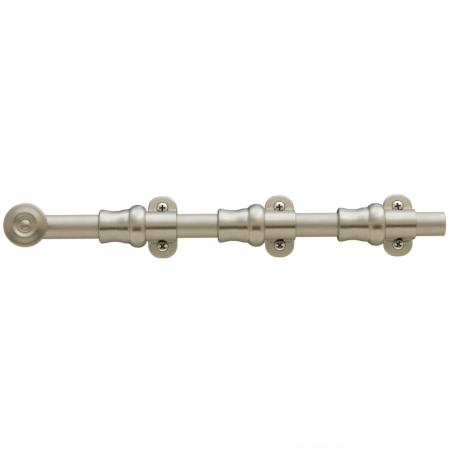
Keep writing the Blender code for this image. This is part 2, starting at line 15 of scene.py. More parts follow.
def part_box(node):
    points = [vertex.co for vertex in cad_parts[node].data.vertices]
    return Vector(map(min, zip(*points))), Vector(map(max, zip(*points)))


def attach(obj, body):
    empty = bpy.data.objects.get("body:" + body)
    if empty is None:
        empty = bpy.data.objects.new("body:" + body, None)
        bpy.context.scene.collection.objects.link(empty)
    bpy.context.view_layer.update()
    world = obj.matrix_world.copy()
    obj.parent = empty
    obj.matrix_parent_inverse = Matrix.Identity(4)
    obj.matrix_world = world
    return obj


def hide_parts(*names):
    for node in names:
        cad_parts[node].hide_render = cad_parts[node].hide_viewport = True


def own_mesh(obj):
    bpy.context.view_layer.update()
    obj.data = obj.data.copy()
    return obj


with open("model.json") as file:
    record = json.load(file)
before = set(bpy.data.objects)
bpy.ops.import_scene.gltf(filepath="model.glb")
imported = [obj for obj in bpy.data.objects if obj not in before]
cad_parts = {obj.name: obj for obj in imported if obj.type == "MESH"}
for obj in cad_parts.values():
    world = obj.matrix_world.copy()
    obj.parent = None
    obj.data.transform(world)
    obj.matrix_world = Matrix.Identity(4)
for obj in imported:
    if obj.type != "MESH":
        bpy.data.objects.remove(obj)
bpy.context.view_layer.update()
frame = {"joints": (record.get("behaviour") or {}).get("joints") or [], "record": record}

MM = 0.001
NO_TURN = Matrix.Identity(4)
FACING_OUT = Matrix.Rotation(math.radians(-90.0), 4, "Z")
FACING_DOOR = Matrix.Rotation(math.radians(90.0), 4, "Z")
END_FOR_END = Matrix.Rotation(math.radians(180.0), 4, "Z")

# -------- sizes taken from the frame

rod_low, rod_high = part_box("bolt_rod")
guide_low, guide_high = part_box("guide_middle")
knob_low, knob_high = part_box("rosette_knob")
wood_low, wood_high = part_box("wood_screw_middle_upper")
pin_low, pin_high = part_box("limit_pin")
record = frame["record"]
mounts = {mount["name"]: Vector(mount["pos_m"]) for mount in record["mounts"]}
travels = {joint["name"]: joint["range_m"] for joint in frame["joints"]}
bodies = {node: body for body, nodes in record["behaviour"]["bodies"].items() for node in nodes}

AXIS_Y = (rod_low.y + rod_high.y) / 2.0
ROD_RADIUS = (rod_high.z - rod_low.z) / 2.0
ROD_HEIGHT = -AXIS_Y
GUIDE_CENTRES = {place: mounts[f"guide_{place}_back"].x for place in ("knob_end", "middle", "tip_end")}
MOUTH = guide_low.x - GUIDE_CENTRES["middle"]
TUBE_END = guide_high.x - GUIDE_CENTRES["middle"]
BEAD_RADIUS = AXIS_Y - guide_low.y
FLANGE_HALF_HEIGHT = guide_high.z
KNOB_X = (knob_low.x + knob_high.x) / 2.0
KNOB_RIM_RADIUS = (knob_high.z - knob_low.z) / 2.0
KNOB_FRONT = AXIS_Y - knob_low.y
SCREW_OFFSET = (wood_low.z + wood_high.z) / 2.0
SCREW_HEAD_FRONT = -wood_low.y
SCREW_REACH = wood_high.y
SCREW_HEAD_RADIUS = (wood_high.z - wood_low.z) / 2.0
BACK_HOLE_SHIFT = (pin_low.x + pin_high.x) / 2.0

# -------- finer sizes

# Guide, from its mouth to its plain tube
BORE_RADIUS = ROD_RADIUS + 0.3 * MM
BORE_EASE = 0.45 * MM
MOUTH_RADIUS = 11.2 * MM
MOUTH_FACE_RADIUS = 9.6 * MM
LIP_START = MOUTH + 1.0 * MM
LIP_CREST = MOUTH + 1.9 * MM
COVE_WAIST = MOUTH + 9.3 * MM
COVE_RISE = MOUTH + 11.2 * MM
COVE_RADIUS = 10.15 * MM
COVE_END_RADIUS = 11.35 * MM
BEAD_CREST = MOUTH + 25.6 * MM
BEAD_HEIGHT = 5.2 * MM
BEAD_REACH_TO_MOUTH = 6.6 * MM
BEAD_REACH_TO_TUBE = 5.9 * MM
BEAD_END = MOUTH + 31.0 * MM
BEAD_BLEND = 1.2 * MM
TUBE_RADIUS = 9.85 * MM

# Flange, saddle and holes of a guide
FLANGE_RADIUS = 9.8 * MM
FLANGE_THICKNESS = 4.0 * MM
FLANGE_FULLNESS = 2.35
SADDLE_HALF_WIDTH = 9.8 * MM
SADDLE_HALF_LENGTH = 9.6 * MM
APRON_WIDTH = 2.7 * MM
APRON_STEEP = math.radians(17.0)
APRON_SHALLOW = math.radians(5.0)
TOE_SINK = 0.03 * MM
POCKET_RADIUS = 3.85 * MM
POCKET_FLOOR = 3.7 * MM
SCREW_HOLE_RADIUS = 1.95 * MM
COUNTERSINK_SLOPE = math.tan(math.radians(41.0))
BACK_HOLE_RADIUS = 2.5 * MM

# Rod, knob screw and what sits in the tapped holes
ROD_END_ROUNDING = 0.9 * MM
KEYWAY_HALF_WIDTH = 1.8 * MM
KEYWAY_DEPTH = 2.4 * MM
KNOB_SCREW_HOLE = 2.3 * MM
KNOB_SCREW_HEAD = 1.8 * MM
COUNTERBORE_RADIUS = 4.0 * MM
COUNTERBORE_DEPTH = 3.6 * MM
GRUB_RADIUS = 2.2 * MM
GRUB_CORE = 1.9 * MM
THREAD_CLEARANCE = 0.3 * MM
PIN_POINT_RADIUS = 1.45 * MM

# How far a cutter reaches past the face that it cuts
OVERCUT = 1.0 * MM

# A turned point nearer to the axis than this lies on it
ON_AXIS = 1e-9

# Steps round turned pieces, along a coil and along curves
ROUND_STEPS = 144
SMALL_ROUND_STEPS = 64
SCREW_ROUND_STEPS = 48
COIL_STEPS = 72
WAVE_STEPS = 18
FINE_STEPS = 40
MIDDLE_STEPS = 24
COARSE_STEPS = 12
SMOOTH_ANGLE = math.radians(32.0)
ARC_STEP = math.radians(9.0)


def depth_of(node):
    """How far a CAD piece reaches from front to back."""
    low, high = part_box(node)
    return high.y - low.y


def at(x, y=0.0, z=0.0):
    return Matrix.Translation((x, y, z))


def new_object(name, data):
    """Object in the scene for a mesh, a lamp or a camera."""
    thing = bpy.data.objects.new(name, data)
    bpy.context.scene.collection.objects.link(thing)
    return thing


# -------- outlines

def corner_arc(before, here, after, rounding):
    """Points of the arc that rounds off the corner at here."""
    to_before = (before - here).normalized()
    to_after = (after - here).normalized()
    half = to_before.angle(to_after) / 2.0
    reach = rounding / math.tan(half)
    centre = here + (to_before + to_after).normalized() * (rounding / math.sin(half))
    start = here + to_before * reach - centre
    end = here + to_after * reach - centre
    start_angle = math.atan2(start.y, start.x)
    sweep = math.remainder(math.atan2(end.y, end.x) - start_angle, math.tau)
    steps = max(2, round(abs(sweep) / ARC_STEP))
    angles = [start_angle + sweep * step / steps for step in range(steps + 1)]
    return [(centre.x + rounding * math.cos(a), centre.y + rounding * math.sin(a)) for a in angles]


def rounded(corners, closed=False):
    """Outline through (x, y) corners; a corner given as (x, y, rounding) becomes an arc."""
    outline = []
    count = len(corners)
    for index, corner in enumerate(corners):
        at_end = not closed and index in (0, count - 1)
        if len(corner) == 2 or at_end:
            outline.append(tuple(corner[:2]))
            continue
        before = Vector(corners[index - 1][:2])
        after = Vector(corners[(index + 1) % count][:2])
        outline += corner_arc(before, Vector(corner[:2]), after, corner[2])
    return outline


def wave(start, end, steps):
    """S-shaped run between two (x, y) points, level in y at both ends."""
    points = []
    for step in range(steps + 1):
        share = step / steps
        blend = (1.0 - math.cos(math.pi * share)) / 2.0
        points.append((start[0] + (end[0] - start[0]) * share, start[1] + (end[1] - start[1]) * blend))
    return points


def arc(centre, radii, start_degrees, end_degrees, steps):
    """Points on an arc of an ellipse with the given half sizes."""
    points = []
    for step in range(steps + 1):
        angle = math.radians(start_degrees + (end_degrees - start_degrees) * step / steps)
        points.append((centre[0] + radii[0] * math.cos(angle), centre[1] + radii[1] * math.sin(angle)))
    return points


# -------- mesh makers

def mesh_from(name, points, faces):
    """Closed mesh with its faces turned outwards."""
    mesh = bpy.data.meshes.new(name)
    mesh.from_pydata(points, [], faces)
    mesh.validate()
    return outward(mesh)


def outward(mesh):
    """Turns the faces of a closed mesh outwards, by the sign of its volume."""
    mesh.calc_loop_triangles()
    volume = 0.0
    for triangle in mesh.loop_triangles:
        a, b, c = (mesh.vertices[index].co for index in triangle.vertices)
        volume += a.dot(b.cross(c))
    if volume < 0.0:
        mesh.flip_normals()
    return mesh


def turned(name, outline, steps=ROUND_STEPS, ridge=None):
    """Closed mesh turned about X from (x, radius) points; ridge(x, angle) adds to the radius."""
    points, rings, faces = [], [], []
    for x, radius in outline:
        if radius < ON_AXIS:
            rings.append([len(points)] * steps)
            points.append((x, 0.0, 0.0))
            continue
        rings.append(list(range(len(points), len(points) + steps)))
        for step in range(steps):
            angle = math.tau * step / steps
            reach = radius + (ridge(x, angle) if ridge else 0.0)
            points.append((x, reach * math.cos(angle), reach * math.sin(angle)))
    for first, second in zip(rings, rings[1:]):
        for step in range(steps):
            following = (step + 1) % steps
            corners = (first[step], first[following], second[following], second[step])
            face = tuple(dict.fromkeys(corners))
            if len(face) > 2:
                faces.append(face)
    return mesh_from(name, points, faces)


def stacked(name, layers):
    """Closed mesh through layers, each a list of the same number of 3-D points; flat ends."""
    count = len(layers[0])
    points = [point for layer in layers for point in layer]
    faces = [tuple(range(count)), tuple(range(len(points) - count, len(points)))[::-1]]
    for level in range(len(layers) - 1):
        base = level * count
        for index in range(count):
            following = (index + 1) % count
            low, high = base + index, base + following
            faces.append((low, low + count, high + count, high))
    return mesh_from(name, points, faces)


def block(name, low, high):
    """Box between two opposite corners."""
    layers = []
    for x in (low[0], high[0]):
        sides = ((low[1], low[2]), (high[1], low[2]), (high[1], high[2]), (low[1], high[2]))
        layers.append([(x, *side) for side in sides])
    return stacked(name, layers)


def stadium(half_length, radius, steps, fullness=2.0):
    """Round-ended outline along the first axis; a fullness above 2 makes its round ends swell out."""
    reach = half_length - radius
    end = []
    for across, along in arc((0.0, 0.0), (1.0, 1.0), 0.0, 180.0, steps):
        swell = (abs(across) ** fullness + abs(along) ** fullness) ** (-1.0 / fullness)
        end.append((reach + radius * swell * along, -radius * swell * across))
    return end + [(-along, -across) for along, across in end]


def carved(name, body, joined=(), cut=()):
    """Joins meshes onto a body mesh and cuts others out; each item is a (mesh, matrix) pair."""
    work = new_object(name, body)
    tools = []
    for operation, items in (("UNION", joined), ("DIFFERENCE", cut)):
        for mesh, matrix in items:
            tool = new_object("tool", mesh)
            tool.matrix_world = matrix
            modifier = work.modifiers.new(operation, "BOOLEAN")
            modifier.operation = operation
            modifier.solver = "EXACT"
            modifier.object = tool
            tools.append(tool)
    bpy.context.view_layer.update()
    result = bpy.data.meshes.new_from_object(work.evaluated_get(bpy.context.evaluated_depsgraph_get()))
    for thing in [work, *tools]:
        bpy.data.objects.remove(thing, do_unlink=True)
    result.name = name
    return result


# -------- guide

def guide_outline():
    """Lip, cove, oval bead swelling out of the cove, and plain tube."""
    mouth_edge = 0.35 * MM
    lip_rounding = 0.6 * MM
    lip_start_radius = MOUTH_RADIUS - 0.05 * MM
    foot_rounding = 2.0 * MM
    bead_end_rounding = 0.3 * MM
    tube_start = BEAD_END + 0.05 * MM
    tube_start_rounding = 0.25 * MM
    chamfer_start = TUBE_END - 0.25 * MM
    chamfer_rounding = 0.15 * MM
    tube_end_radius = TUBE_RADIUS - 0.6 * MM
    tube_end_edge = 0.1 * MM
    centre = BEAD_RADIUS - BEAD_HEIGHT
    rise = math.degrees(math.asin((COVE_END_RADIUS - centre) / BEAD_HEIGHT))
    fall = math.degrees(math.acos((BEAD_END - BEAD_CREST) / BEAD_REACH_TO_TUBE))
    swell = arc((BEAD_CREST, centre), (BEAD_REACH_TO_MOUTH, BEAD_HEIGHT), 180.0 - rise, 90.0, FINE_STEPS)
    drop = arc((BEAD_CREST, centre), (BEAD_REACH_TO_TUBE, BEAD_HEIGHT), 90.0, fall, FINE_STEPS)
    foot = swell[0]
    past_blend = [point for point in swell if point[0] > foot[0] + BEAD_BLEND]
    corners = [
        (MOUTH, 0.0),
        (MOUTH, MOUTH_FACE_RADIUS, mouth_edge),
        (LIP_START, lip_start_radius, lip_rounding),
    ]
    corners += wave((LIP_CREST, MOUTH_RADIUS), (COVE_WAIST, COVE_RADIUS), WAVE_STEPS)
    corners += wave((COVE_RISE, COVE_RADIUS), (foot[0] - BEAD_BLEND, COVE_END_RADIUS), WAVE_STEPS)
    corners += [(*foot, foot_rounding), *past_blend]
    corners += [*drop[1:-1], (*drop[-1], bead_end_rounding)]
    corners += [
        (tube_start, TUBE_RADIUS, tube_start_rounding),
        (chamfer_start, TUBE_RADIUS, chamfer_rounding),
        (TUBE_END, tube_end_radius, tube_end_edge),
        (TUBE_END, 0.0),
    ]
    return rounded(corners)


def flange_section():
    """Edge of the flange as (inset, height above the door): wall, chamfer, slightly crowned face."""
    back_ease = 0.35 * MM
    back_rounding = 0.2 * MM
    wall_top = 2.55 * MM
    wall_rounding = 0.35 * MM
    chamfer_end = (0.8 * MM, 3.75 * MM)
    chamfer_rounding = 0.5 * MM
    crown_start = (3.6 * MM, 3.96 * MM)
    crown_end = 7.5 * MM
    crown_rounding = 8.0 * MM
    flat_end = 9.0 * MM
    return rounded(
        [
            (back_ease, 0.0),
            (0.0, back_ease, back_rounding),
            (0.0, wall_top, wall_rounding),
            (*chamfer_end, chamfer_rounding),
            (*crown_start, crown_rounding),
            (crown_end, FLANGE_THICKNESS, crown_rounding),
            (flat_end, FLANGE_THICKNESS),
        ]
    )


def flange():
    """Plate with full round ends, as a casting has them."""
    layers = []
    for inset, height in flange_section():
        half_length = FLANGE_HALF_HEIGHT - inset
        outline = stadium(half_length, FLANGE_RADIUS - inset, FINE_STEPS, FLANGE_FULLNESS)
        layers.append([(across, ROD_HEIGHT - height, along) for along, across in outline])
    return stacked("flange", layers)


def saddle():
    """Block between tube and flange, with a shallow hollow apron down each side on the crowned face."""
    steep = 90.0 + math.degrees(APRON_STEEP)
    shallow = 90.0 + math.degrees(APRON_SHALLOW)
    face = [(inset, height) for inset, height in flange_section() if height > FLANGE_THICKNESS / 2.0]
    insets, heights = zip(*face)
    hollow = APRON_WIDTH / (math.sin(APRON_STEEP) - math.sin(APRON_SHALLOW))
    toe = SADDLE_HALF_WIDTH + APRON_WIDTH
    layers = []
    for step in range(FINE_STEPS + 1):
        x = SADDLE_HALF_LENGTH * (2.0 * step / FINE_STEPS - 1.0)
        toe_depth = ROD_HEIGHT + TOE_SINK - float(np.interp(FLANGE_RADIUS - abs(x), insets, heights))
        centre = (toe + hollow * math.sin(APRON_SHALLOW), toe_depth - hollow * math.cos(APRON_SHALLOW))
        apron = arc(centre, (hollow, hollow), steep, shallow, COARSE_STEPS)
        side = [(SADDLE_HALF_WIDTH, 0.0), *apron, (toe, ROD_HEIGHT - MM)]
        outline = side + [(-across, depth) for across, depth in reversed(side)]
        layers.append([(x, depth, across) for across, depth in outline])
    return stacked("saddle", layers)


def bore():
    """The rod's running hole, eased at both mouths."""
    ease_rounding = 0.4 * MM
    wide = BORE_RADIUS + BORE_EASE + OVERCUT
    outline = [
        (MOUTH - OVERCUT, 0.0),
        (MOUTH - OVERCUT, wide),
        (MOUTH + BORE_EASE, BORE_RADIUS, ease_rounding),
        (TUBE_END - BORE_EASE, BORE_RADIUS, ease_rounding),
        (TUBE_END + OVERCUT, wide),
        (TUBE_END + OVERCUT, 0.0),
    ]
    return turned("bore", rounded(outline))


def screw_hole():
    """Clearance hole, countersink and round pocket, along X from the door face."""
    mouth_depth = 0.3 * MM
    mouth_flare = 0.9 * MM
    edge = 0.2 * MM
    pocket_edge = 0.12 * MM
    sink_radius = SCREW_HEAD_RADIUS + 0.1 * MM
    sink_depth = (sink_radius - SCREW_HOLE_RADIUS) / COUNTERSINK_SLOPE
    top = ROD_HEIGHT + TUBE_RADIUS
    outline = [
        (-OVERCUT, 0.0),
        (-OVERCUT, SCREW_HOLE_RADIUS + mouth_flare),
        (mouth_depth, SCREW_HOLE_RADIUS, edge),
        (POCKET_FLOOR - sink_depth, SCREW_HOLE_RADIUS, edge),
        (POCKET_FLOOR, sink_radius),
        (POCKET_FLOOR, POCKET_RADIUS, pocket_edge),
        (top, POCKET_RADIUS),
        (top, 0.0),
    ]
    return turned("screw_hole", rounded(outline), SMALL_ROUND_STEPS)


def back_hole():
    """Tapped hole from the flange's back into the bore, with a countersunk mouth."""
    mouth_depth = 0.4 * MM
    mouth_flare = 1.4 * MM
    inside = ROD_HEIGHT - BORE_RADIUS / 2.0
    outline = [
        (-OVERCUT, 0.0),
        (-OVERCUT, BACK_HOLE_RADIUS + mouth_flare),
        (mouth_depth, BACK_HOLE_RADIUS),
        (inside, BACK_HOLE_RADIUS),
        (inside, 0.0),
    ]
    return turned("back_hole", outline, SMALL_ROUND_STEPS)


def guide():
    to_door = at(0.0, ROD_HEIGHT)
    back_place = to_door @ at(BACK_HOLE_SHIFT) @ FACING_OUT
    cutters = [(bore(), NO_TURN), (back_hole(), back_place)]
    hole = screw_hole()
    for side in (1.0, -1.0):
        screw_place = to_door @ at(0.0, 0.0, side * SCREW_OFFSET) @ FACING_OUT
        cutters.append((hole, screw_place))
    body = turned("guide_body", guide_outline())
    return carved("guide", body, [(saddle(), NO_TURN), (flange(), NO_TURN)], cutters)


# -------- rod and knob

def rod():
    """Round bar with rounded ends, keyway, knob screw hole and counterbore."""
    bar = [
        (rod_low.x, 0.0),
        (rod_low.x, ROD_RADIUS, ROD_END_ROUNDING),
        (rod_high.x, ROD_RADIUS, ROD_END_ROUNDING),
        (rod_high.x, 0.0),
    ]
    far = 2.0 * ROD_RADIUS
    floor = ROD_RADIUS - COUNTERBORE_DEPTH
    knob_hole = [
        (-far, 0.0),
        (-far, COUNTERBORE_RADIUS),
        (-floor, COUNTERBORE_RADIUS),
        (-floor, KNOB_SCREW_HOLE),
        (far, KNOB_SCREW_HOLE),
        (far, 0.0),
    ]
    hole = turned("hole", knob_hole, SMALL_ROUND_STEPS)
    hole_place = at(KNOB_X) @ FACING_OUT
    return carved("rod", turned("rod", rounded(bar)), (), [(keyway(), NO_TURN), (hole, hole_place)])


def keyway():
    """Slot in the rod's back, as long as the slide's travel and the limit pin need."""
    back, out = travels["bolt_slide"]
    start = BACK_HOLE_SHIFT - out - KEYWAY_HALF_WIDTH
    end = BACK_HOLE_SHIFT - back + KEYWAY_HALF_WIDTH
    centre = (start + end) / 2.0
    outline = stadium((end - start) / 2.0, KEYWAY_HALF_WIDTH, MIDDLE_STEPS)
    layers = []
    for depth in (ROD_RADIUS - KEYWAY_DEPTH, ROD_RADIUS + OVERCUT):
        layers.append([(centre + along, depth, across) for along, across in outline])
    return stacked("keyway", layers)


def knob_face():
    """The knob's face from the centre out, as (radius, height) points: button, ring, dish and lip."""
    button_curve = 4.8 * MM
    button_radius = 2.85 * MM
    button_centre = KNOB_FRONT - 0.08 * MM - button_curve
    button = []
    for step in range(COARSE_STEPS + 1):
        radius = button_radius * step / COARSE_STEPS
        button.append((radius, button_centre + math.sqrt(button_curve ** 2 - radius ** 2)))
    valley = (3.6 * MM, button[-1][1] - 0.22 * MM)
    valley_side = (valley[0] - 0.3 * MM, valley[1] + 0.05 * MM)
    ring = (4.65 * MM, valley[1] + 0.25 * MM)
    dish = (5.1 * MM, ring[1] - 0.1 * MM)
    lip = (8.0 * MM, KNOB_FRONT)
    points = [*button, valley_side, valley]
    for start, end in ((valley, ring), (ring, dish), (dish, lip)):
        points += wave(start, end, COARSE_STEPS)[1:]
    return points


def knob_back():
    """Collar, slim neck and swept back of the knob, as (height, radius) corners from the rod's axis."""
    collar_start = 5.0 * MM
    collar_end = 8.6 * MM
    collar_radius = 5.6 * MM
    collar_rounding = 0.5 * MM
    neck_start = 9.6 * MM
    neck_end = 14.0 * MM
    neck_radius = 5.0 * MM
    neck_start_rounding = 0.7 * MM
    neck_end_rounding = 6.0 * MM
    sweep = (19.4 * MM, 9.2 * MM)
    sweep_rounding = 5.0 * MM
    rim_back = (20.9 * MM, 12.9 * MM)
    rim_back_rounding = 0.4 * MM
    return [
        (collar_start, 0.0),
        (collar_start, collar_radius),
        (collar_end, collar_radius, collar_rounding),
        (neck_start, neck_radius, neck_start_rounding),
        (neck_end, neck_radius, neck_end_rounding),
        (*sweep, sweep_rounding),
        (*rim_back, rim_back_rounding),
    ]


def knob_outline():
    """Back, rounded rim, soft step, shallow shoulder, lip and face, as (height, radius) points."""
    rim_arc = 1.5 * MM
    rim_centre = (22.5 * MM, KNOB_RIM_RADIUS - rim_arc)
    rim_angles = (150.0, 22.0)
    soft_step = (24.12 * MM, 12.5 * MM)
    step_rounding = 0.3 * MM
    foot_height, foot_radius = (24.25 * MM, 11.85 * MM)
    shoulder_steps = 14
    straight_share = 0.7
    face = knob_face()
    lip_radius, lip_height = face[-1]
    corners = knob_back()
    corners += arc(rim_centre, (rim_arc, rim_arc), *rim_angles, MIDDLE_STEPS)
    corners += [(*soft_step, step_rounding), (foot_height, foot_radius, step_rounding)]
    shoulder = wave((foot_radius, foot_height), (lip_radius, lip_height), shoulder_steps)
    for radius, height in shoulder[2:]:
        share = (foot_radius - radius) / (foot_radius - lip_radius)
        straight = foot_height + (lip_height - foot_height) * share
        corners.append((straight_share * straight + (1.0 - straight_share) * height, radius))
    corners += [(height, radius) for radius, height in reversed(face[:-1])]
    return rounded(corners)


def rod_shape(reach):
    """Plain cylinder along X, as wide as the bore, that hollows a piece to follow the rod."""
    outline = [(-reach, 0.0), (-reach, BORE_RADIUS), (reach, BORE_RADIUS), (reach, 0.0)]
    return turned("rod_shape", outline)


def knob():
    tapped_depth = 19.0 * MM
    drill_point = tapped_depth + 1.0 * MM
    body = turned("knob", knob_outline())
    tapped = [(0.0, 0.0), (0.0, KNOB_SCREW_HOLE), (tapped_depth, KNOB_SCREW_HOLE), (drill_point, 0.0)]
    hole = turned("hole", tapped, SMALL_ROUND_STEPS)
    coping = rod_shape(2.0 * KNOB_RIM_RADIUS)
    return carved("knob", body, (), [(coping, FACING_DOOR), (hole, NO_TURN)])


# -------- screws, washer, spring and pad

def thread(start, end, pitch, height, share):
    """Ridge function for turned(): one helical rib of triangular section between two lengths."""
    def ridge(x, angle):
        phase = (x / pitch - angle / math.tau) % 1.0
        rib = max(0.0, 1.0 - abs(phase - 0.5) * 2.0 / share)
        fade = min(1.0, max(0.0, (x - start) / pitch), max(0.0, (end - x) / pitch))
        return height * rib * fade
    return ridge


def even_run(start, end, spacing):
    """Points every so often along a straight (x, radius) run, without its last point."""
    steps = max(1, round(abs(end[0] - start[0]) / spacing))
    return [
        (start[0] + (end[0] - start[0]) * step / steps, start[1] + (end[1] - start[1]) * step / steps)
        for step in range(steps)
    ]


def cross_recess(arm, width, depth):
    """Cutter for a cross-shaped driver recess that opens at x = 0 and narrows with depth."""
    tip_rounding = 0.1 * MM
    inner_rounding = 0.12 * MM
    # Each level: x, share of the arm, share of the width.
    floor = (-depth, 0.42, 0.62)
    waist = (-0.3 * depth, 0.86, 0.9)
    mouth = (OVERCUT, 1.08, 1.0)
    layers = []
    for x, arm_share, width_share in (floor, waist, mouth):
        reach = arm * arm_share
        half = width * width_share / 2.0
        tip = ((reach, -half, tip_rounding), (reach, half, tip_rounding))
        corners = []
        for number in range(4):
            turn = Matrix.Rotation(math.radians(90.0 * number), 2)
            for across, up, rounding in (*tip, (half, half, inner_rounding)):
                corners.append((*(turn @ Vector((across, up))), rounding))
        layers.append([(x, across, up) for across, up in rounded(corners, closed=True)])
    return stacked("recess", layers)


def wood_screw():
    """Oval-head wood screw along X; x = 0 is the door face and the head is at positive x."""
    rim = SCREW_HEAD_FRONT - 1.15 * MM
    rim_back = rim - 0.25 * MM
    rim_rounding = 0.1 * MM
    shank = 1.65 * MM
    shank_top = rim_back - (SCREW_HEAD_RADIUS - shank) / COUNTERSINK_SLOPE
    shank_rounding = 0.3 * MM
    core = 1.15 * MM
    core_top = -3.5 * MM
    shank_start = core_top + 0.6 * MM
    thread_top = core_top - 0.2 * MM
    point = -SCREW_REACH
    point_start = (point + 0.15 * MM, 0.12 * MM)
    point_end = (point + 4.5 * MM, core)
    thread_start = point + 0.3 * MM
    pitch = 1.4 * MM
    thread_height = 0.48 * MM
    rib_share = 0.62
    spacing = 0.12 * MM
    dome_steps = 18
    corners = [(point, 0.0)]
    corners += even_run(point_start, point_end, spacing)
    corners += even_run(point_end, (core_top, core), spacing)
    corners += [(core_top, core), (shank_start, shank), (shank_top, shank, shank_rounding)]
    corners += [(rim_back, SCREW_HEAD_RADIUS, rim_rounding)]
    corners += arc((rim, 0.0), (SCREW_HEAD_FRONT - rim, SCREW_HEAD_RADIUS), 90.0, 0.0, dome_steps)
    ridge = thread(thread_start, thread_top, pitch, thread_height, rib_share)
    body = turned("wood_screw", rounded(corners), SCREW_ROUND_STEPS, ridge)
    recess = cross_recess(arm=2.35 * MM, width=1.2 * MM, depth=2.4 * MM)
    return carved("wood_screw", body, (), [(recess, at(SCREW_HEAD_FRONT))])


def set_screw(name, length, thread_length, point_radius):
    """Slotted headless screw from x = 0 to x = -length; what lies past its thread is a plain point."""
    pitch = 0.8 * MM
    rib_share = 0.9
    chamfer = 0.25 * MM
    spacing = 0.06 * MM
    slot_half_width = 0.4 * MM
    slot_depth = 0.8 * MM
    slot_reach = 3.0 * MM
    corners = [(-length, 0.0), (-length, point_radius - chamfer), (-length + chamfer, point_radius)]
    if length > thread_length:
        corners += [(-thread_length, point_radius), (-thread_length, GRUB_CORE - chamfer)]
    corners += even_run((-thread_length + chamfer, GRUB_CORE), (-chamfer, GRUB_CORE), spacing)
    corners += [(-chamfer, GRUB_CORE), (0.0, GRUB_CORE - chamfer), (0.0, 0.0)]
    ridge = thread(-thread_length + chamfer, -chamfer, pitch, GRUB_RADIUS - GRUB_CORE, rib_share)
    body = turned(name, corners, SCREW_ROUND_STEPS, ridge)
    slot_low = (-slot_depth, -slot_reach, -slot_half_width)
    slot = block("slot", slot_low, (OVERCUT, slot_reach, slot_half_width))
    return carved(name, body, (), [(slot, NO_TURN)])


def knob_screw():
    """Machine screw along X: seat at x = 0, domed head at negative x, thread at positive x."""
    low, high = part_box("knob_screw")
    head_radius = (high.z - low.z) / 2.0
    length = high.y - low.y - KNOB_SCREW_HEAD
    dome_height = 0.65 * KNOB_SCREW_HEAD
    dome_steps = 14
    dome_centre = (dome_height - KNOB_SCREW_HEAD, 0.0)
    shank = 1.95 * MM
    shank_end = 2.4 * MM
    under_head_rounding = 0.15 * MM
    core = 1.65 * MM
    core_start = 2.8 * MM
    thread_start = 2.9 * MM
    thread_end = length - 0.6 * MM
    pitch = 0.7 * MM
    thread_height = 0.33 * MM
    rib_share = 0.9
    spacing = 0.1 * MM
    end_bevel = 0.5 * MM
    corners = arc(dome_centre, (dome_height, head_radius), 180.0, 90.0, dome_steps)
    corners += [(0.0, head_radius), (0.0, shank, under_head_rounding), (shank_end, shank)]
    corners += [(core_start, core), *even_run((thread_start, core), (thread_end, core), spacing)]
    corners += [(thread_end, core), (length, core - end_bevel), (length, 0.0)]
    ridge = thread(thread_start, thread_end, pitch, thread_height, rib_share)
    body = turned("knob_screw", rounded(corners), SCREW_ROUND_STEPS, ridge)
    recess = cross_recess(arm=1.7 * MM, width=0.85 * MM, depth=1.2 * MM)
    recess_place = at(-KNOB_SCREW_HEAD) @ END_FOR_END
    return carved("knob_screw", body, (), [(recess, recess_place)])


def swept_ring(name, section, centres):
    """Closed mesh that carries an (along, outward) section through (x, radius, angle) centres."""
    layers = []
    for x, radius, angle in centres:
        outward_way = Vector((0.0, math.cos(angle), math.sin(angle)))
        layer = []
        for along, out in section:
            layer.append(Vector((x + along, 0.0, 0.0)) + outward_way * (radius + out))
        layers.append(layer)
    return stacked(name, layers)


def lock_washer():
    """Split ring along X whose two ends stand apart."""
    low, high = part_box("knob_lock_washer")
    outer = (high.z - low.z) / 2.0
    thickness = high.y - low.y
    stand = 0.25 * thickness
    half_width = (outer - KNOB_SCREW_HOLE) / 2.0
    half_height = (thickness - stand) / 2.0
    ease = 0.12 * MM
    gap = math.radians(12.0)
    corners = [(-half_height, -half_width, ease), (half_height, -half_width, ease)]
    corners += [(half_height, half_width, ease), (-half_height, half_width, ease)]
    centres = []
    for step in range(COIL_STEPS + 1):
        share = step / COIL_STEPS
        angle = gap / 2.0 + (math.tau - gap) * share
        centres.append((half_height + stand * share, outer - half_width, angle))
    return swept_ring("lock_washer", rounded(corners, closed=True), centres)


def spring(length):
    """Coil spring along X from x = 0."""
    wire = 0.2 * MM
    coil_radius = 1.5 * MM
    turns = 2.25
    section = arc((0.0, 0.0), (wire, wire), 0.0, 360.0, MIDDLE_STEPS)[:-1]
    centres = []
    for step in range(COIL_STEPS + 1):
        share = step / COIL_STEPS
        centres.append((wire + (length - 2.0 * wire) * share, coil_radius, math.tau * turns * share))
    return swept_ring("spring", section, centres)


def friction_pad(length):
    """Nylon plug along X; its hollow face at x = 0 follows the rod."""
    back_edge = 0.3 * MM
    front_edge = 0.1 * MM
    hollow_depth = 0.2 * MM
    outline = [
        (-length, 0.0),
        (-length, GRUB_RADIUS, back_edge),
        (0.0, GRUB_RADIUS, front_edge),
        (0.0, 0.0),
    ]
    body = turned("friction_pad", rounded(outline), SMALL_ROUND_STEPS)
    hollow_place = at(BORE_RADIUS - hollow_depth) @ FACING_DOOR
    return carved("friction_pad", body, (), [(rod_shape(ROD_RADIUS), hollow_place)])


# -------- materials

LATHE_DRIFT = 0.02
DRAW_SQUEEZE = 0.012
WEAR_REACH = 0.5 * MM
# Reach and softness of the shade painted into recesses
RECESS_SHADE_REACH = 2.5 * MM
RECESS_SHADE_BLEND = 0.5
CORNER_EASE = 0.2 * MM
GRAIN_DEPTH = 0.02 * MM
NYLON_GRAIN_DEPTH = 0.03 * MM


